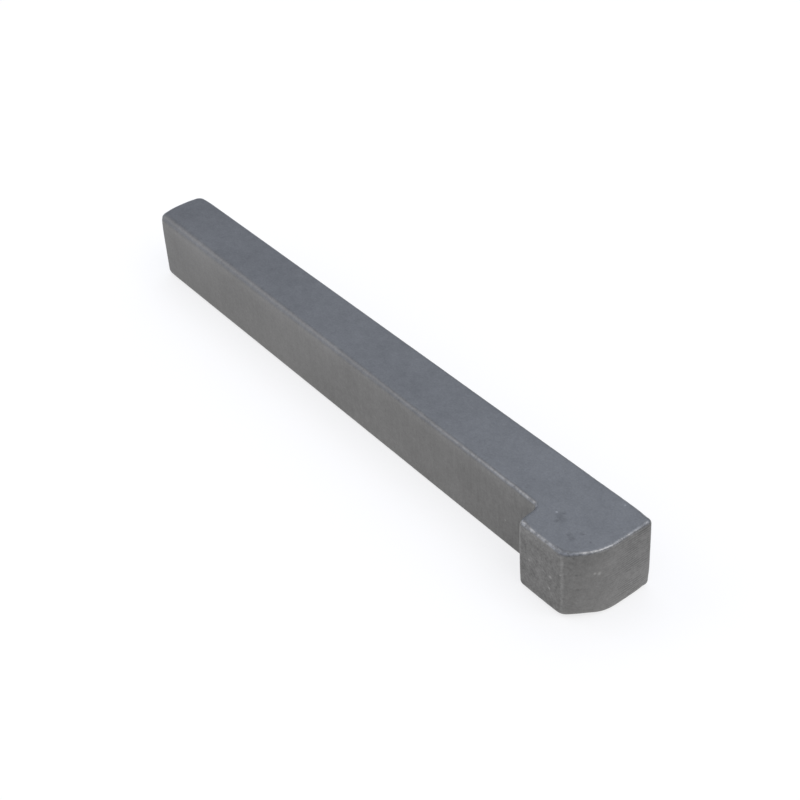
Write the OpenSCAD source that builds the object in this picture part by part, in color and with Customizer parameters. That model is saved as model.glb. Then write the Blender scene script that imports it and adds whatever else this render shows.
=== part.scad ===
// Gib head key: a tapered shaft key with a driving head, lying on one flank.
// X runs along the key towards the head. The plain face looks along +Y, the
// tapered face and the head's overhang along -Y. Z spans the key's width.

/* [Shank] */
// Width of the key, which is its height as it lies on its flank
key_w = 10; // [6:0.5:16]
// Height of the shank where it meets the head, from plain face to tapered face
shank_h = 8; // [6:0.1:9]
// Length of the shank from its tip to the inner face of the head
shank_l = 80; // [40:1:200]
// Angle between the tapered face and the plain face, in degrees: a fall of 1 in 100
taper_angle = 0.573; // [0.3:0.001:1.2]
// Upright rounding at the tip, beside the plain face
tip_plain_r = 1.2; // [0.8:0.1:2.5]
// Upright rounding at the tip, beside the tapered face
tip_taper_r = 1.2; // [0.8:0.1:2.5]

/* [Head] */
// Length of the head along the key
head_l = 10.1; // [8:0.1:16]
// Height of the head from the plain face to its nose
head_h = 11.2; // [10.5:0.1:14]
// Height of the end face from the plain face, up to where the slope would cut it
end_face_h = 7.6; // [5:0.1:8]
// Angle between the slope and the end face, in degrees
slope_angle = 37.601; // [20:0.001:45]
// Rounding that blends the end face into the slope
blend_r = 6; // [4:0.5:11]
// Upright rounding between the slope and the nose
nose_r = 1.5; // [0.8:0.1:3]
// Upright rounding between the nose and the inner face
inner_r = 0.9; // [0.8:0.1:2]
// Upright rounding between the end face and the plain face
end_plain_r = 0.8; // [0.8:0.1:2.5]
// Hollow rounding at the root, between the tapered face and the inner face
root_r = 0.9; // [0.4:0.1:1.5]

/* [Edges] */
// Rounding of every edge round the two flanks
edge_r = 0.7; // [0.3:0.05:0.75]

/* [Hidden] */
$fn = 96;

x_end = (shank_l + head_l) / 2;
x_tip = -x_end;
x_root = x_tip + shank_l;
y_plain = head_h / 2;
y_nose = -y_plain;
y_root = y_plain - shank_h;
y_tip = y_root + shank_l * tan(taper_angle);
x_nose = x_end - (head_h - end_face_h) * tan(slope_angle);

// The flank's outline, anticlockwise from above: each corner's place and rounding
CORNERS = [
    [[x_root, y_root], root_r],
    [[x_root, y_nose], inner_r],
    [[x_nose, y_nose], nose_r],
    [[x_end, y_plain - end_face_h], blend_r],
    [[x_end, y_plain], end_plain_r],
    [[x_tip, y_plain], tip_plain_r],
    [[x_tip, y_tip], tip_taper_r]
];
COUNT = len(CORNERS);
ROOT = 0;
END = 4;

// Depth of the rim that carries the rounded edges, and how far the core reaches into
// it, as shares of the edges' rounding
rim_depth_share = 3;
core_lap_share = 1;
rim_depth = rim_depth_share * edge_r;
core_lap = core_lap_share * edge_r;
// How far the hollow rounding dips into the two faces that it joins, to end inside them
dip_share = 0.002;
dip = dip_share * edge_r;

function place(i) = CORNERS[(i + COUNT) % COUNT][0];
function radius(i) = CORNERS[(i + COUNT) % COUNT][1];
// Direction of the side from corner i to the next, and from the one before to it
function ahead(i) = (place(i + 1) - place(i)) / norm(place(i + 1) - place(i));
function behind(i) = ahead(i - 1);
// Turn of the outline at corner i, without its sign
function turn(i) = acos(ahead(i) * behind(i));
// Length that the rounding of corner i takes from each of its sides
function setback(i) = radius(i) * tan(turn(i) / 2);
// What is left of the side between corner i and its neighbour, step on from it
function straight(i, step) = norm(place(i + step) - place(i)) - setback(i) - setback(i + step);
// Corner i of the outline, drawn in by inset on both of its sides
function drawn_in(i, inset) =
    let (a = ahead(i), b = behind(i), across = b[0] * a[1] - b[1] * a[0])
    place(i) + inset * (a - b) / across;

// Section of the rim, with its rounded edges at x = reach
module rim_section(reach) {
    difference() {
        translate([reach - rim_depth, 0]) square([rim_depth, key_w]);
        for (upper = [0, 1])
            translate([reach - edge_r, upper * key_w]) mirror([0, upper]) difference() {
                square(edge_r);
                translate([0, edge_r]) circle(edge_r);
            }
    }
}

// The same about a rounded corner, which the rim may reach past
module corner_section(reach) {
    intersection() {
        rim_section(reach);
        square([reach, key_w]);
    }
}

// The rim along a straight side: it starts at the origin, with its face at y = -reach
module rim_side(length, reach) {
    rotate([90, 0, 90]) linear_extrude(length) mirror([1, 0]) rim_section(reach);
}

// The rim round corner i: its arc ends under the origin, where the next side starts
module rim_corner(i) {
    rotate(-90 - turn(i)) rotate_extrude(angle = turn(i)) corner_section(radius(i));
}

// The hollow rim of the root: its arc starts over the origin, where the tapered face ends
module rim_hollow() {
    rotate(90 - turn(ROOT)) rotate_extrude(angle = turn(ROOT))
        translate([radius(ROOT), 0]) mirror([1, 0]) rim_section(0);
}

// The rim from corner i to the root, one side and one corner at a time, with the
// arc centre of corner i at the origin. A step of -1 is drawn as seen in a mirror.
module rim(i, step) {
    length = straight(i, step);
    if ((i + step + COUNT) % COUNT == ROOT) {
        rim_side(length + setback(ROOT) + rim_depth, radius(i));
        if (step > 0)
            translate([length + dip, dip - radius(i) - radius(ROOT)]) rim_hollow();
    } else {
        rim_side(length, radius(i));
        translate([length, radius(i + step) - radius(i)]) rotate(turn(i + step)) {
            rim_corner(i + step);
            rim(i + step, step);
        }
    }
}

module gib_head_key() color([0.2, 0.205, 0.215]) {
    linear_extrude(key_w)
        polygon([for (i = [0 : COUNT - 1]) drawn_in(i, rim_depth - core_lap)]);
    translate(place(END) - radius(END) * [1, 1]) {
        rotate(180) {
            rim_corner(END);
            rim(END, 1);
        }
        mirror([1, -1, 0]) rotate(180) rim(END, -1);
    }
}

gib_head_key();
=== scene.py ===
"""The looks of the gib head key: tumbled steel with pits, nicks and saw marks, bright rubbed edges
with a painted highlight, and painted light and shade.

Lengths are in metres, in the frame of the solid: X runs towards the head, the plain
face looks along +Y, and the key lies on the flank at z = 0.
"""
import math

import bpy
import numpy as np
from mathutils import Matrix, Vector, noise
from mathutils.geometry import delaunay_2d_cdt

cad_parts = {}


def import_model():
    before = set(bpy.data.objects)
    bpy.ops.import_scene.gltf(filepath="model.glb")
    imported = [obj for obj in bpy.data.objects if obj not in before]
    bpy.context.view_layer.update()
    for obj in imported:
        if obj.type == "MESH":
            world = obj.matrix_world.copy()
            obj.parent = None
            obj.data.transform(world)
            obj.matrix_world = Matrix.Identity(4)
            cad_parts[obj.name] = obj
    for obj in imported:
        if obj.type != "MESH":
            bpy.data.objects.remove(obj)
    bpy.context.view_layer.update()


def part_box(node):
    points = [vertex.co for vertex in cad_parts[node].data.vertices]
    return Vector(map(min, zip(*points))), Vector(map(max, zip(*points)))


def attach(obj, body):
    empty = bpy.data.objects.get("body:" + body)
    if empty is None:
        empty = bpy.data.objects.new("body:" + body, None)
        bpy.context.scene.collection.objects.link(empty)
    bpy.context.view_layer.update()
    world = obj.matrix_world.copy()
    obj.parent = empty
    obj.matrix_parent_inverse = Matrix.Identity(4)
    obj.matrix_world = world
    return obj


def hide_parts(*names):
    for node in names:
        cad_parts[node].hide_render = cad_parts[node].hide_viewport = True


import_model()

MM = 0.001
BODY = "root"
NODE = "gib_head_key"
LOW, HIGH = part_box(NODE)

# The key's shape, as its solid has it, but for up to 0.3 mm more crown on the slope and
# for slightly sharper upright corners beside the plain face and at the tip
SHANK_L = 80 * MM
SHANK_H = 8 * MM
TAPER_ANGLE = math.radians(0.573)
END_FACE_H = 8.4 * MM
SLOPE_ANGLE = math.radians(44.5)
TIP_PLAIN_R = 1.0 * MM
TIP_TAPER_R = 1.0 * MM
ROOT_R = 0.9 * MM
INNER_R = 0.9 * MM
NOSE_R = 1.5 * MM
BLEND_R = 7 * MM
END_PLAIN_R = 0.7 * MM

# Rounding of the flanks' edges beside each side, above and below, from the photo where it
# shows them: the upper ones are sharper, but for that of the tapered side
UPPER_EDGE_R = {
    "inner": 0.5 * MM, "nose": 0.4 * MM, "slope": 0.45 * MM, "end": 0.4 * MM,
    "plain": 0.48 * MM, "tip": 0.4 * MM, "taper": 0.55 * MM,
}
LOWER_EDGE_R = {
    "inner": 0.7 * MM, "nose": 0.9 * MM, "slope": 1.3 * MM, "end": 0.75 * MM,
    "plain": 0.7 * MM, "tip": 0.7 * MM, "taper": 0.38 * MM,
}
# Share by which the tapered side's edges are rounder at the tip
TIP_SOFTNESS = 1.0
# Reach over which the values of one side blend into those of the next
SIDE_BLEND = 1.1 * MM
# Rounding where an upright corner meets a flank, which tumbling wears more, and its reach
WORN_EDGE_R = 0.8 * MM
WORN_REACH = 1.5 * MM
# The rounding stays under this share of the upright corner's own, and widens away from it
WORN_SHARE = 0.97
WIDEN_SHARE = 0.8
# Corners with a larger rounding count as blends, not as corners
SHARP_R = 3 * MM

X_END, X_TIP = HIGH.x, LOW.x
X_ROOT = X_TIP + SHANK_L
Y_PLAIN, Y_NOSE = HIGH.y, LOW.y
Y_ROOT = Y_PLAIN - SHANK_H
Y_TIP = Y_ROOT + SHANK_L * math.tan(TAPER_ANGLE)
Y_SLOPE = Y_PLAIN - END_FACE_H
X_NOSE = X_END - (Y_SLOPE - Y_NOSE) * math.tan(SLOPE_ANGLE)
KEY_W = HIGH.z - LOW.z

# Mesh spacing: along the shank's long sides, along the head's sides, up the sides, and
# on the flanks, whose own points keep clear of the outline by a share of it
SHANK_STEP = 0.34 * MM
HEAD_STEP = 0.16 * MM
BAND_STEP = 0.22 * MM
FLANK_STEP = 0.34 * MM
CLEAR_SHARE = 0.6
ARC_STEPS = 14
EDGE_STEPS = 9
# Distance in mm at which the flank's triangulation takes two points for one
SAME_POINT = 1e-7

# Unevenness left by forging and tumbling: size of its waves and how deep they go
WAVES = [(9 * MM, 0.014 * MM), (2.6 * MM, 0.006 * MM)]
# Small chips along the rubbed edges: their spacing and depth
CHIPS = (0.6 * MM, 0.03 * MM)
# Dents that the photo shows, by place, reach and depth in mm: nicks in the edges and in
# the upper flank, and at the end of the list the slope's lower edge, which is pressed in
DENTS = [
    ((13.78, -2.0, 9.83), 0.40, 0.07),
    ((30.93, -2.28, 9.63), 0.45, 0.09),
    ((26.1, -2.15, 9.8), 0.28, 0.04),
    ((23.0, -2.05, 9.85), 0.30, 0.04),
    ((2.87, -1.85, 9.87), 0.35, 0.05),
    ((-17.0, -1.6, 9.9), 0.30, 0.04),
    ((37.3, -1.53, 10.0), 0.35, 0.03),
    ((38.3, -5.5, 9.8), 0.30, 0.06),
    ((44.0, -3.3, 9.9), 0.30, 0.05),
    ((45.0, 1.6, 9.9), 0.30, 0.04),
    ((42.2, -5.2, 5.1), 0.35, 0.06),
    ((36.0, -5.4, 9.7), 0.40, 0.06),
    ((44.4, -2.9, 0.4), 1.80, 0.12),
]
# How far tumbling has pushed in some corners, named by the side after the corner: the
# depth at its lower and its upper end
KNOCKS = {
    "nose": (0.06 * MM, 0.08 * MM), "plain": (0.16 * MM, 0.02 * MM), "taper": (0.0, 0.12 * MM),
}
KNOCK_REACH = 1.8 * MM

# Values that the mesh hands to the steel
# Half the width of the bright line along the edges, which is rubbed steel and a painted highlight
SHINE_REACH = 0.32 * MM
# How bright that line is on the head, at the tip, and how much it gains along the shank
HEAD_WEAR_AND_HIGHLIGHT = 0.9
TIP_WEAR_AND_HIGHLIGHT = 0.03
SHANK_WEAR_AND_HIGHLIGHT = 0.72
# Length of the shank beside the head whose edge line is as bright as the head's
HEAD_WEAR_AND_HIGHLIGHT_LAP = 0.3 * MM
# How bright the upright corners are, as a share of the flanks' edges
CORNER_WEAR_AND_HIGHLIGHT = 0.6
# How strong the tapered side's streaks and its painted shade are at the tip, as a share of those at
# the head
TIP_STREAKS = 0.35
# Band of painted light and shade on each side under its upper edge, a painted highlight's tail on
# the tapered side and nose and painted shade on the end: share of its shade, its reach, and the
# power by which it fades over the rounded edge
PAINTED_RIM_LIGHT = {
    "inner": 0.0, "nose": 0.20, "slope": 0.0, "end": -0.10, "plain": 0.0, "tip": 0.0, "taper": 0.15,
}
RIM_REACH = 0.9 * MM
RIM_POWER = 6

# Colours of the satin steel and of its bright edge line, rubbed steel with a painted highlight, and
# how much of the second that line brings
STEEL_COLOUR = (0.191, 0.1885, 0.1825)
WORN_AND_HIGHLIGHT_COLOUR = (0.40, 0.395, 0.385, 1)
WORN_AND_HIGHLIGHT_SHARE = 0.75
# Noise patterns in mm: stretch, shift, scale, detail, roughness and distortion
NOISES = {
    "cloud": ((1, 1, 1), (0, 0, 0), 0.16, 3.0, 0.55, 0.0),
    "mottle": ((1, 1, 1), (0, 0, 0), 1.15, 4.0, 0.62, 0.0),
    "fine": ((1, 1, 1), (0, 0, 0), 3.6, 3.0, 0.7, 0.0),
    "grain": ((1, 1, 1), (3.1, 0.4, 7.7), 8.0, 1.0, 0.5, 0.0),
    "skin": ((1, 1, 1), (9, 4, 1), 2.1, 5.0, 0.8, 0.4),
    "blotch": ((1, 1, 1), (2, 7, 4), 0.7, 2.0, 0.5, 0.0),
    "wobble": ((1, 0.35, 1), (2, 2, 2), 0.7, 2.0, 0.5, 0.0),
    "patches": ((1, 0.7, 1.4), (6, 1, 3), 0.5, 2.0, 0.6, 0.0),
    "streaks": ((3.2, 1, 0.4), (5, 5, 5), 0.8, 3.0, 0.6, 0.0),
    "rub": ((1, 1, 1), (1, 8, 5), 2.0, 3.0, 0.65, 0.0),
}
# Spacing of the saw lines on the end, in mm, and how far they wander, in radians
SAW_PERIOD = 0.34
SAW_WANDER = 6.0
# Pits and smudges, and bright specks that are painted glints, where the photo shows them: place and
# reach in mm
DARK_SPOTS = [
    ((37.55, -1.58, 10), 0.7), ((38.3, -1.85, 10), 0.8), ((37.75, -1.0, 10), 0.35),
    ((38.1, -2.5, 10), 0.4), ((41.28, -3.1, 10), 0.55), ((40.6, -2.85, 10), 0.5),
    ((41.49, -1.8, 10), 0.4), ((43.6, -4.35, 4.54), 0.42), ((43.5, -4.5, 6.8), 0.3),
    ((39.9, -5.6, 7.44), 0.36), ((39.2, -5.6, 6.9), 0.25),
]
PAINTED_GLINTS = [
    ((37.14, -1.53, 10), 0.22), ((44.72, -2.22, 6.57), 0.34), ((44.52, -2.69, 6.72), 0.25),
    ((41.33, 4.78, 10), 0.2), ((29.34, -2.35, 3.82), 0.2), ((37.12, -5.6, 5.25), 0.28),
    ((40.55, -5.6, 5.18), 0.32), ((40.39, -5.6, 3.36), 0.28), ((42.05, -5.5, 6.54), 0.2),
]
# Painted shade: a dark patch under the slope's upper edge, place and reach in mm
PAINTED_EDGE_SHADE = ((44.1, -3.6, 9.2), 2.4)
# Small pits strewn over all sides, one at most in a cell: cells per mm
STREWN_SCALE = 0.62
# How much each pattern lightens or darkens the steel, whose own shade is 1. Beside marks of
# the steel, it holds painted light and shade: on the tapered side, the nose, towards the tip,
# on the flanks, low on the end, under the slope's edge, under each upper edge, and glints
SHADES = {
    "cloud": 0.30, "mottle": 0.46, "fine": 0.46, "streaks": 0.32, "side": -0.15, "nose": -0.14,
    "skin": 0.42, "blotch": 0.45, "saw": -0.34, "end": 0.051, "low_end": 0.18, "painted_edge_shade": -0.08,
    "tip": -0.06, "rim": 1.0, "flank": 1.0, "pits": -0.14, "strewn": -0.20, "glints": 0.5,
}
# The steel's roughness, and how much each pattern changes it
ROUGHNESS = 0.46
ROUGHNESSES = {"mottle": 0.14, "worn_and_highlight": -0.10}
# How high each pattern stands
HEIGHTS = {
    "grain": 0.0030 * MM, "fine": 0.0045 * MM, "mottle": 0.008 * MM, "skin": 0.009 * MM,
    "saw": -0.006 * MM, "pits": -0.03 * MM, "strewn": -0.012 * MM,
}

# The floor: half its width, its colour, and what is seen of it, which is a darker colour
# and a glow that bring it to white outside the shadow
FLOOR_REACH = 3.0
FLOOR_COLOUR = (0.85, 0.84, 0.82, 1)
FLOOR_SEEN_COLOUR = (0.31, 0.30, 0.29, 1)
FLOOR_GLOW = 0.72

# The world's light: its colour and level, and what is added high up behind the key, low
# down before its tip, and low down by its head
SKY_COLOUR = (0.79, 0.86, 1.03, 1)
SKY_LEVEL = 0.75
SKY_BEHIND = 0.30
SKY_BY_TIP = 0.75
SKY_BY_HEAD = -0.55
# Lamps: name, direction, distance, width, radiance and colour
LAMPS = [
    ("lamp_key", (0.60, 0.10, 0.78), 0.7, 0.50, 1.6, (1.0, 0.97, 0.92)),
    ("lamp_fill", (-0.62, -0.46, 0.62), 0.7, 0.45, 1.2, (1.0, 0.96, 0.91)),
    ("lamp_sky", (-0.40, 0.36, 0.84), 0.8, 0.50, 0.6, (0.78, 0.87, 1.0)),
]

# The camera, fitted to the object's outline in the photo
CAMERA_AZIMUTH = math.radians(54.0939)
CAMERA_ELEVATION = math.radians(38.9134)
CAMERA_ROLL = math.radians(-3.9795)
CAMERA_DISTANCE = 218.394 * MM
CAMERA_DRIFT = (0.0 * MM, 4.2100 * MM)
CAMERA_TARGET = Vector((0, Y_PLAIN, KEY_W / 2))
LENS_MM = 77.3925
SENSOR_MM = 36
CLIP_START, CLIP_END = 10 * MM, 20


def unit(v):
    return v / np.linalg.norm(v)


def corners():
    """Corners of the flank's outline, anticlockwise from above: place, rounding, side ahead."""
    return [
        ((X_ROOT, Y_ROOT), ROOT_R, "inner"),
        ((X_ROOT, Y_NOSE), INNER_R, "nose"),
        ((X_NOSE, Y_NOSE), NOSE_R, "slope"),
        ((X_END, Y_SLOPE), BLEND_R, "end"),
        ((X_END, Y_PLAIN), END_PLAIN_R, "plain"),
        ((X_TIP, Y_PLAIN), TIP_PLAIN_R, "tip"),
        ((X_TIP, Y_TIP), TIP_TAPER_R, "taper"),
    ]


def corner_arcs(ring):
    """The arc at each corner: centre, radius with its sign, first angle and turn."""
    places = [np.array(c[0]) for c in ring]
    arcs = []
    for i in range(len(ring)):
        before = unit(places[i] - places[i - 1])
        after = unit(places[(i + 1) % len(ring)] - places[i])
        cross = before[0] * after[1] - before[1] * after[0]
        turn = math.atan2(cross, float(before @ after))
        radius = math.copysign(ring[i][1], cross)
        centre = places[i] + radius * (after - before) / cross
        start = math.atan2(before[1], before[0]) - math.pi / 2
        arcs.append((centre, radius, start, turn))
    return arcs


def outline():
    """Points of the rounded outline, and the arcs at its corners.

    A point has its place, its outward direction, its side and its nearness to the middle
    of a corner.
    """
    ring = corners()
    arcs = corner_arcs(ring)
    rows = []
    for i, (centre, radius, start, turn) in enumerate(arcs):
        sharp = 0 < radius < SHARP_R
        for k in range(ARC_STEPS + 1):
            angle = start + turn * k / ARC_STEPS
            out = np.array((math.cos(angle), math.sin(angle)))
            side = ring[i][2] if 2 * k >= ARC_STEPS else ring[i - 1][2]
            middle = math.sin(math.pi * k / ARC_STEPS) if sharp else 0.0
            rows.append((centre + radius * out, out, side, middle))
        centre_next, radius_next, start_next, _ = arcs[(i + 1) % len(ring)]
        out = np.array((math.cos(start_next), math.sin(start_next)))
        a = centre + radius * out
        b = centre_next + radius_next * out
        step = SHANK_STEP if ring[i][2] in ("plain", "taper") else HEAD_STEP
        cells = max(1, round(np.linalg.norm(b - a) / step))
        for k in range(1, cells):
            rows.append((a + (b - a) * k / cells, out, ring[i][2], 0.0))
    return rows, arcs


def along_shank(place):
    """Where each point of the outline is along the shank, from 0 at the tip to 1 at the head."""
    return np.clip((place[:, 0] - X_TIP) / SHANK_L, 0, 1)


def blended(rows, by_side):
    """A value of each side at each point of the outline, blended from side to side."""
    place = np.array([r[0] for r in rows])
    plain = np.array([by_side[r[2]] for r in rows])
    weight = np.linalg.norm(np.roll(place, -1, 0) - np.roll(place, 1, 0), axis=1)
    smooth = np.zeros(len(rows))
    for k, point in enumerate(place):
        near = weight * np.exp(-(np.linalg.norm(place - point, axis=1) / SIDE_BLEND) ** 2)
        smooth[k] = (near * plain).sum() / near.sum()
    return smooth


def edge_radii(rows, arcs, by_side):
    """Rounding of a flank's edge at each point of the outline."""
    place = np.array([r[0] for r in rows])
    on_taper = np.array([r[2] == "taper" for r in rows])
    softness = np.where(on_taper, 1 + TIP_SOFTNESS * (1 - along_shank(place)), 1)
    radii = blended(rows, by_side) * softness
    limit = np.full(len(rows), np.inf)
    for centre, radius, start, turn in arcs:
        if not 0 < radius < SHARP_R:
            continue
        middle = start + turn / 2
        tip = centre + radius * np.array((math.cos(middle), math.sin(middle)))
        near = np.exp(-(np.linalg.norm(place - tip, axis=1) / WORN_REACH) ** 2)
        radii = np.maximum(radii, radii + near * (WORN_EDGE_R - radii))
        away = np.linalg.norm(place - centre, axis=1) - radius
        limit = np.minimum(limit, WORN_SHARE * radius + WIDEN_SHARE * np.maximum(away, 0))
    return np.minimum(radii, limit)


def flank_triangles(ring):
    """Triangles over the flat flank inside a ring: the new inner points, and index triples."""
    ring = np.array(ring)
    low, high = ring.min(0), ring.max(0)
    xs = np.arange(low[0], high[0], FLANK_STEP)
    ys = np.arange(low[1], high[1], FLANK_STEP)
    grid = np.array([(x, y) for x in xs for y in ys])
    inside = np.zeros(len(grid), bool)
    for p, q in zip(ring, np.roll(ring, -1, 0)):
        crosses = (p[1] > grid[:, 1]) != (q[1] > grid[:, 1])
        if p[1] != q[1]:
            x_at = p[0] + (grid[:, 1] - p[1]) / (q[1] - p[1]) * (q[0] - p[0])
            inside ^= crosses & (grid[:, 0] < x_at)
    grid = grid[inside]
    clear = np.full(len(grid), np.inf)
    for p in ring:
        clear = np.minimum(clear, np.hypot(*(grid - p).T))
    grid = grid[clear > FLANK_STEP * CLEAR_SHARE]
    points = [Vector(p) for p in np.vstack([ring, grid]) / MM]
    edges = [(k, (k + 1) % len(ring)) for k in range(len(ring))]
    _, _, faces, origin, _, _ = delaunay_2d_cdt(points, edges, [], 1, SAME_POINT)
    back = [o[0] for o in origin]
    return grid, [[back[v] for v in f] for f in faces]


def wear_and_highlight_along(place):
    """How bright the edge line of rubbed steel and painted highlight is along the outline: most on
    the head, least at the tip.
    """
    on_shank = TIP_WEAR_AND_HIGHLIGHT + SHANK_WEAR_AND_HIGHLIGHT * along_shank(place) ** 2
    return np.where(place[:, 0] > X_ROOT - HEAD_WEAR_AND_HIGHLIGHT_LAP, HEAD_WEAR_AND_HIGHLIGHT, on_shank)


def edge_wear_and_highlight(bend, radii):
    """How much of the edge line, rubbed steel and painted highlight, a rounded edge has where it
    has turned by bend: most half way round.
    """
    return np.exp(-((bend - math.pi / 4) * radii / SHINE_REACH) ** 2)


def ring_levels(low, high, rim_shade):
    """The rings round the sides, upwards: height, inset, lean of the normal, bright edge line and
    painted band.

    low and high are the roundings of the lower and the upper edge round the outline.
    """
    none = 0 * low
    cells = round((KEY_W - low.mean() - high.mean()) / BAND_STEP)
    bends = [math.pi / 2 * k / EDGE_STEPS for k in range(EDGE_STEPS + 1)]
    rings = []
    for bend in bends:
        z = low * (1 - math.cos(bend))
        inset = low * (1 - math.sin(bend))
        rings.append((z, inset, -math.cos(bend), edge_wear_and_highlight(bend, low), none))
    for k in range(1, cells):
        depth = (KEY_W - low - high) * (1 - k / cells)
        # Painted light and shade in the band under the upper edge
        rim = rim_shade * np.exp(-depth / RIM_REACH)
        rings.append((KEY_W - high - depth, none, 0.0, none, rim))
    for bend in reversed(bends):
        z = KEY_W - high * (1 - math.cos(bend))
        inset = high * (1 - math.sin(bend))
        rim = rim_shade * math.sin(bend) ** RIM_POWER
        rings.append((z, inset, math.cos(bend), edge_wear_and_highlight(bend, high), rim))
    return rings


def key_mesh():
    """The closed mesh of the key: its points, their normals and values, and its faces.

    Rings run round the sides, and a triangulated flank closes each end. The values say
    for the steel how bright a point's edge line of rubbed steel and painted highlight is, and
    how far it belongs to the nose, the end, the tapered side, any upright side and the band
    of painted light and shade under the upper edge.
    """
    rows, arcs = outline()
    count = len(rows)
    place = np.array([r[0] for r in rows])
    out = np.array([r[1] for r in rows])
    corner = np.array([r[3] for r in rows])
    # The bright edge line: rubbed steel and a painted highlight, half way round each rounded edge
    worn_and_highlight = wear_and_highlight_along(place)
    on_head = place[:, 0] > X_ROOT
    # The nose's value carries its skin and blotches, and a painted shade that darkens the whole
    # nose
    nose = np.where(on_head, np.maximum(0, -out[:, 1]) ** 2, 0)
    end = np.where(on_head, np.maximum(0, out[:, 0]) ** 8, 0)
    # The tapered side's value grows towards the head: it carries its streaks and a painted shade
    # that darkens it towards the head
    side = np.maximum(0, -out[:, 1]) * np.maximum(along_shank(place), TIP_STREAKS)
    side = np.where(on_head, 0, side)
    low = edge_radii(rows, arcs, LOWER_EDGE_R)
    high = edge_radii(rows, arcs, UPPER_EDGE_R)
    rings = ring_levels(low, high, blended(rows, PAINTED_RIM_LIGHT))
    verts = []
    normals = []
    values = {name: [] for name in ("wear_and_highlight", "nose", "end", "side", "upright", "rim")}
    for z, inset, lean, shine, rim in rings:
        flat = math.sqrt(1 - lean * lean)
        verts.append(np.column_stack([place - out * inset[:, None], z + LOW.z]))
        normals.append(np.column_stack([out * flat, np.full(count, lean)]))
        values["wear_and_highlight"].append(np.maximum(shine * worn_and_highlight, CORNER_WEAR_AND_HIGHLIGHT * corner ** 2 * flat * worn_and_highlight))
        values["nose"].append(nose * flat)
        values["end"].append(end * flat)
        values["side"].append(side * flat)
        values["upright"].append(np.full(count, flat))
        values["rim"].append(rim)
    faces = []
    for level in range(len(rings) - 1):
        a, b = level * count, (level + 1) * count
        for k in range(count):
            n = (k + 1) % count
            faces.append((a + k, a + n, b + n, b + k))
    total = len(rings) * count
    for level, z, lean in ((0, LOW.z, -1.0), (len(rings) - 1, HIGH.z, 1.0)):
        inner, triangles = flank_triangles(verts[level][:, :2])
        verts.append(np.column_stack([inner, np.full(len(inner), z)]))
        normals.append(np.tile((0, 0, lean), (len(inner), 1)))
        for parts in values.values():
            parts.append(np.zeros(len(inner)))
        for t in triangles:
            face = [v + level * count if v < count else v + total - count for v in t]
            faces.append(tuple(face if lean > 0 else reversed(face)))
        total += len(inner)
    values = {name: np.concatenate(parts) for name, parts in values.items()}
    return np.vstack(verts), np.vstack(normals), values, faces


def relief(verts, normals, wear_and_highlight):
    """The mesh's points, sunk by the waves, chips and dents of the surface."""
    depth = np.zeros(len(verts))
    for number, (size, amount) in enumerate(WAVES):
        shift = Vector((17.3 * number, 5.1, 2.7))
        waves = np.array([noise.noise(Vector(v) / size + shift) for v in verts])
        depth += amount * (0.5 + 0.5 * waves)
    spacing, amount = CHIPS
    chips = np.array([noise.noise(Vector(v) / spacing) for v in verts])
    depth += amount * wear_and_highlight * np.maximum(0, chips)
    for centre, reach, amount in DENTS:
        away = np.linalg.norm(verts / MM - np.array(centre), axis=1) / reach
        depth += amount * MM * np.exp(-away ** 2)
    moved = verts - normals * depth[:, None]
    middle = np.array(((X_ROOT + X_END) / 2, (Y_PLAIN + Y_NOSE) / 2, KEY_W / 2))
    for place, _, side in corners():
        for z, amount in zip((LOW.z, HIGH.z), KNOCKS.get(side, (0.0, 0.0))):
            corner = np.array((*place, z))
            near = np.exp(-(np.linalg.norm(verts - corner, axis=1) / KNOCK_REACH) ** 2)
            moved += near[:, None] * amount * unit(np.sign(middle - corner))
    return moved


def build_key(material):
    """The key as one object, in place of its solid, with the steel's values on its points."""
    verts, normals, values, faces = key_mesh()
    verts = relief(verts, normals, values["wear_and_highlight"])
    mesh = bpy.data.meshes.new("key_steel")
    mesh.from_pydata([tuple(v) for v in verts], [], faces)
    mesh.polygons.foreach_set("use_smooth", [True] * len(mesh.polygons))
    for name, numbers in values.items():
        layer = mesh.attributes.new(name, "FLOAT", "POINT")
        layer.data.foreach_set("value", numbers.astype(np.float32))
    mesh.validate()
    mesh.update()
    key = bpy.data.objects.new("key_steel", mesh)
    bpy.context.scene.collection.objects.link(key)
    mesh.materials.append(material)
    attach(key, BODY)
    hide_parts(NODE)


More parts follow.
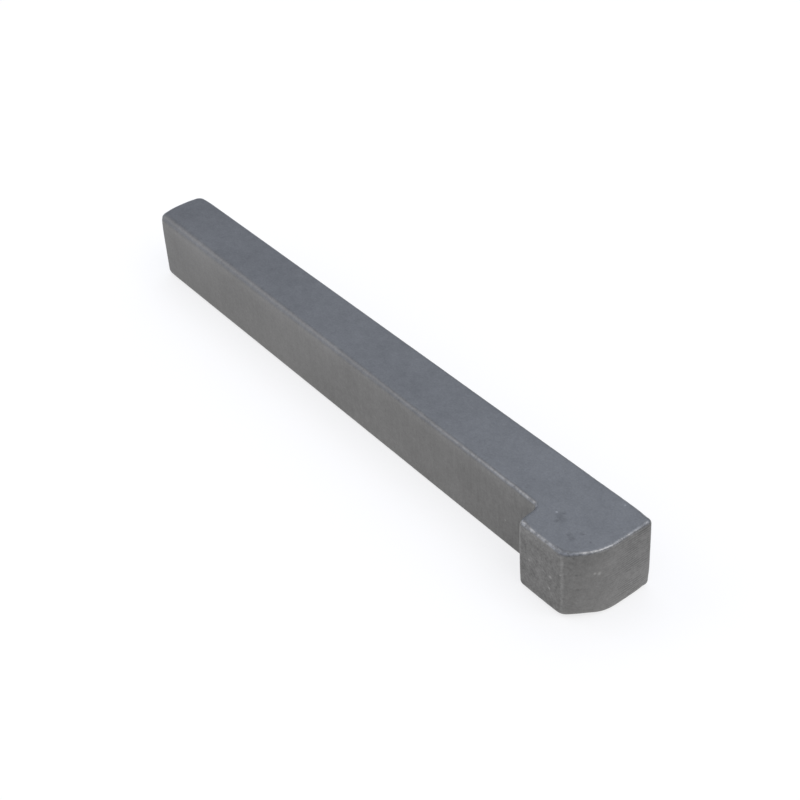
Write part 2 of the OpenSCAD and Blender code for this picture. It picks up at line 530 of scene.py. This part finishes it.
class Nodes:
    """Short calls that add nodes to a material's tree and link them."""

    def __init__(self, tree):
        self.tree = tree

    def add(self, kind, inputs, **settings):
        new = self.tree.nodes.new(kind)
        for name, value in settings.items():
            setattr(new, name, value)
        for key, value in inputs.items():
            if isinstance(value, bpy.types.NodeSocket):
                self.tree.links.new(value, new.inputs[key])
            else:
                new.inputs[key].default_value = value
        return new

    def math(self, operation, a, b=0.0, c=0.0):
        return self.add("ShaderNodeMath", {0: a, 1: b, 2: c}, operation=operation).outputs[0]

    def times(self, a, b):
        return self.math("MULTIPLY", a, b)

    def centred(self, value):
        return self.math("SUBTRACT", value, 0.5)

    def fit(self, value, low, high, to_low=0.0, to_high=1.0):
        inputs = {
            "Value": value, "From Min": low, "From Max": high, "To Min": to_low, "To Max": to_high,
        }
        return self.add("ShaderNodeMapRange", inputs, interpolation_type="SMOOTHSTEP").outputs[0]

    def attribute(self, name):
        return self.add("ShaderNodeAttribute", {}, attribute_name=name).outputs["Fac"]

    def noise(self, vector, stretch, shift, scale, detail, roughness, distortion):
        inputs = {"Vector": vector, "Scale": stretch, "Location": shift}
        stretched = self.add("ShaderNodeMapping", inputs).outputs[0]
        inputs = {
            "Vector": stretched, "Scale": scale, "Detail": detail, "Roughness": roughness,
            "Distortion": distortion,
        }
        return self.add("ShaderNodeTexNoise", inputs).outputs[0]

    def spot(self, vector, centre, reach):
        inputs = {0: vector, 1: centre}
        away = self.add("ShaderNodeVectorMath", inputs, operation="DISTANCE").outputs["Value"]
        return self.fit(away, reach * 0.25, reach, 1.0, 0.0)

    def spots(self, vector, places):
        total = 0.0
        for centre, reach in places:
            total = self.math("ADD", total, self.spot(vector, centre, reach))
        return total

    def total(self, start, patterns, amounts):
        for name, amount in amounts.items():
            start = self.math("MULTIPLY_ADD", patterns[name], amount, start)
        return start

    def mix(self, share, a, b):
        inputs = {0: share, 6: a, 7: b}
        return self.add("ShaderNodeMix", inputs, data_type="RGBA").outputs[2]


def saw_lines(n, place, noises, end):
    """Saw lines across the end, broken up and strongest low on its far side."""
    wander = n.times(noises["wobble"], SAW_WANDER)
    phase = n.math("MULTIPLY_ADD", place["Z"], 2 * math.pi / SAW_PERIOD, wander)
    lines = n.times(n.fit(n.math("SINE", phase), -0.3, 0.9), n.fit(noises["patches"], 0.34, 0.56))
    off_slope = n.math("SUBTRACT", place["Y"], n.times(place["Z"], 0.3))
    far_side = n.fit(off_slope, -3.5, 1.5, 0.15, 1.0)
    return n.times(lines, n.times(n.fit(end, 0.55, 0.9), far_side))


def steel_patterns(n):
    """The steel's patterns by name: noise about 0, or a value from 0 to 1, or a shade."""
    metres = n.add("ShaderNodeTexCoord", {}).outputs["Object"]
    mm = n.add("ShaderNodeVectorMath", {0: metres, 3: 1 / MM}, operation="SCALE").outputs[0]
    place = n.add("ShaderNodeSeparateXYZ", {0: mm}).outputs
    noises = {name: n.noise(mm, *numbers) for name, numbers in NOISES.items()}
    patterns = {name: n.attribute(name) for name in ("nose", "end", "side", "rim")}
    nose, end, side = patterns["nose"], patterns["end"], patterns["side"]
    upright = n.attribute("upright")
    for name in ("cloud", "mottle", "fine", "grain"):
        patterns[name] = n.centred(noises[name])

    # Rough skin: sandy mottling on the nose and less on the end, and blotches on the nose
    rough_faces = n.math("MAXIMUM", nose, n.times(end, 0.55))
    patterns["skin"] = n.times(n.centred(n.fit(noises["skin"], 0.3, 0.7)), rough_faces)
    patterns["blotch"] = n.times(n.centred(noises["blotch"]), nose)
    patterns["saw"] = saw_lines(n, place, noises, end)
    # Upright streaks on the tapered side, more towards the head
    patterns["streaks"] = n.times(n.centred(noises["streaks"]), side)

    patterns["pits"] = n.spots(mm, DARK_SPOTS)
    # Painted glints: bright specks
    patterns["glints"] = n.spots(mm, PAINTED_GLINTS)
    # Small pits in some of the cells
    cells = n.add("ShaderNodeTexVoronoi", {"Vector": mm, "Scale": STREWN_SCALE, "Randomness": 1.0})
    pick = n.add("ShaderNodeSeparateColor", {0: cells.outputs["Color"]}).outputs[0]
    hole = n.fit(cells.outputs["Distance"], 0.02, 0.11, 1.0, 0.0)
    patterns["strewn"] = n.times(hole, n.fit(pick, 0.62, 0.7))

    # Bright line along the edges, broken up by noise: rubbed steel and a painted highlight
    rubbed = n.fit(noises["rub"], 0.34, 0.62, 0.15, 1.0)
    patterns["worn_and_highlight"] = n.times(n.fit(n.attribute("wear_and_highlight"), 0.25, 1.0), rubbed)

    # Broad painted light and shade: the end lighter low down, a dark patch under the slope's edge,
    # darker towards the tip, both flanks lighter towards the head
    patterns["low_end"] = n.times(end, n.fit(place["Z"], 0.5, 7.0, 1.0, 0.0))
    patterns["painted_edge_shade"] = n.times(upright, n.spot(mm, *PAINTED_EDGE_SHADE))
    patterns["tip"] = n.fit(place["X"], -44, -8, 1.0, 0.0)
    towards_end = n.fit(place["X"], 20, 42, -0.02, 0.03)
    patterns["flank"] = n.times(n.math("SUBTRACT", 1.0, upright), towards_end)
    return patterns


def steel():
    """Satin tumbled steel: mottled and grainy, with pits and saw lines, bright edges of rubbed
    steel and painted highlight, and painted light and shade.
    """
    material = bpy.data.materials.new("steel")
    material.use_nodes = True
    n = Nodes(material.node_tree)
    shader = material.node_tree.nodes["Principled BSDF"]
    shader.inputs["Metallic"].default_value = 1.0
    patterns = steel_patterns(n)
    shade = n.total(1.0, patterns, SHADES)
    satin = n.add("ShaderNodeVectorMath", {0: STEEL_COLOUR, 3: shade}, operation="SCALE").outputs[0]
    # Painted highlight and rubbed steel: the edge line mixes a lighter colour into the steel
    colour = n.mix(n.times(patterns["worn_and_highlight"], WORN_AND_HIGHLIGHT_SHARE), satin, WORN_AND_HIGHLIGHT_COLOUR)
    roughness = n.total(ROUGHNESS, patterns, ROUGHNESSES)
    height = n.total(0.0, patterns, HEIGHTS)
    bump = n.add("ShaderNodeBump", {"Strength": 1.0, "Distance": 1.0, "Height": height}).outputs[0]
    for socket, name in ((colour, "Base Color"), (roughness, "Roughness"), (bump, "Normal")):
        material.node_tree.links.new(socket, shader.inputs[name])
    return material


def floor():
    """A pale floor that looks white but for the object's soft shadow."""
    material = bpy.data.materials.new("floor")
    material.use_nodes = True
    tree = material.node_tree
    tree.nodes.remove(tree.nodes["Principled BSDF"])
    n = Nodes(tree)
    plain = n.add("ShaderNodeBsdfDiffuse", {"Color": FLOOR_COLOUR}).outputs[0]
    dim = n.add("ShaderNodeBsdfDiffuse", {"Color": FLOOR_SEEN_COLOUR}).outputs[0]
    glow = n.add("ShaderNodeEmission", {"Color": (1, 1, 1, 1), "Strength": FLOOR_GLOW}).outputs[0]
    pale = n.add("ShaderNodeAddShader", {0: dim, 1: glow}).outputs[0]
    path = n.add("ShaderNodeLightPath", {})
    seen = n.math("MAXIMUM", path.outputs["Is Camera Ray"], path.outputs["Is Glossy Ray"])
    seen = n.math("MAXIMUM", seen, path.outputs["Is Transmission Ray"])
    mixed = n.add("ShaderNodeMixShader", {0: seen, 1: plain, 2: pale}).outputs[0]
    tree.links.new(mixed, tree.nodes["Material Output"].inputs["Surface"])
    mesh = bpy.data.meshes.new("floor")
    signs = ((-1, -1), (1, -1), (1, 1), (-1, 1))
    points = [(x * FLOOR_REACH, y * FLOOR_REACH, 0) for x, y in signs]
    mesh.from_pydata(points, [], [(0, 1, 2, 3)])
    mesh.materials.append(material)
    plane = bpy.data.objects.new("floor", mesh)
    bpy.context.scene.collection.objects.link(plane)


def world():
    """Soft light from all round, a little brighter or dimmer on some sides."""
    scene_world = bpy.data.worlds.new("studio")
    bpy.context.scene.world = scene_world
    scene_world.use_nodes = True
    back = scene_world.node_tree.nodes["Background"]
    back.inputs["Color"].default_value = SKY_COLOUR
    n = Nodes(scene_world.node_tree)
    way = n.add("ShaderNodeTexCoord", {}).outputs["Generated"]
    parts = n.add("ShaderNodeSeparateXYZ", {0: way}).outputs
    low = n.fit(parts["Z"], 0.02, 0.5, 1.0, 0.0)
    high = n.fit(parts["Z"], 0.42, 0.82)
    near_tip = n.times(n.fit(parts["X"], 0.1, -0.5), n.fit(parts["Y"], 0.2, -0.4))
    places = {
        "behind": n.times(high, n.fit(parts["Y"], -0.1, 0.4)),
        "by_tip": n.times(low, near_tip),
        "by_head": n.times(low, n.fit(parts["X"], -0.4, 0.5)),
    }
    amounts = {"behind": SKY_BEHIND, "by_tip": SKY_BY_TIP, "by_head": SKY_BY_HEAD}
    level = n.total(SKY_LEVEL, places, amounts)
    scene_world.node_tree.links.new(level, back.inputs["Strength"])


def softbox(name, direction, distance, width, radiance, colour):
    """A square lamp that faces the key, as bright as asked for over its surface."""
    lamp = bpy.data.lights.new(name, "AREA")
    lamp.shape = "SQUARE"
    lamp.size = width
    lamp.energy = radiance * math.pi * width * width
    lamp.color = colour
    away = Vector(direction).normalized()
    box = bpy.data.objects.new(name, lamp)
    box.rotation_mode = "QUATERNION"
    box.rotation_quaternion = away.to_track_quat("Z", "Y")
    box.location = away * distance
    bpy.context.scene.collection.objects.link(box)


def camera():
    """The camera, turned by its azimuth, elevation and roll, and aimed past its target."""
    a, e, roll = CAMERA_AZIMUTH, CAMERA_ELEVATION, CAMERA_ROLL
    back = Vector((math.sin(a) * math.cos(e), -math.cos(a) * math.cos(e), math.sin(e)))
    level = Vector((math.cos(a), math.sin(a), 0))
    up = back.cross(level)
    right = math.cos(roll) * level + math.sin(roll) * up
    above = back.cross(right)
    drift = CAMERA_DRIFT[0] * right + CAMERA_DRIFT[1] * above
    data = bpy.data.cameras.new("camera")
    data.lens = LENS_MM
    data.sensor_width = SENSOR_MM
    data.clip_start = CLIP_START
    data.clip_end = CLIP_END
    view = bpy.data.objects.new("camera", data)
    view.matrix_world = Matrix((right, above, back)).transposed().to_4x4()
    view.matrix_world.translation = CAMERA_TARGET - drift + CAMERA_DISTANCE * back
    bpy.context.scene.collection.objects.link(view)
    bpy.context.scene.camera = view


camera()
build_key(steel())
floor()
world()
for lamp in LAMPS:
    softbox(*lamp)
bpy.context.scene.view_settings.view_transform = "Standard"
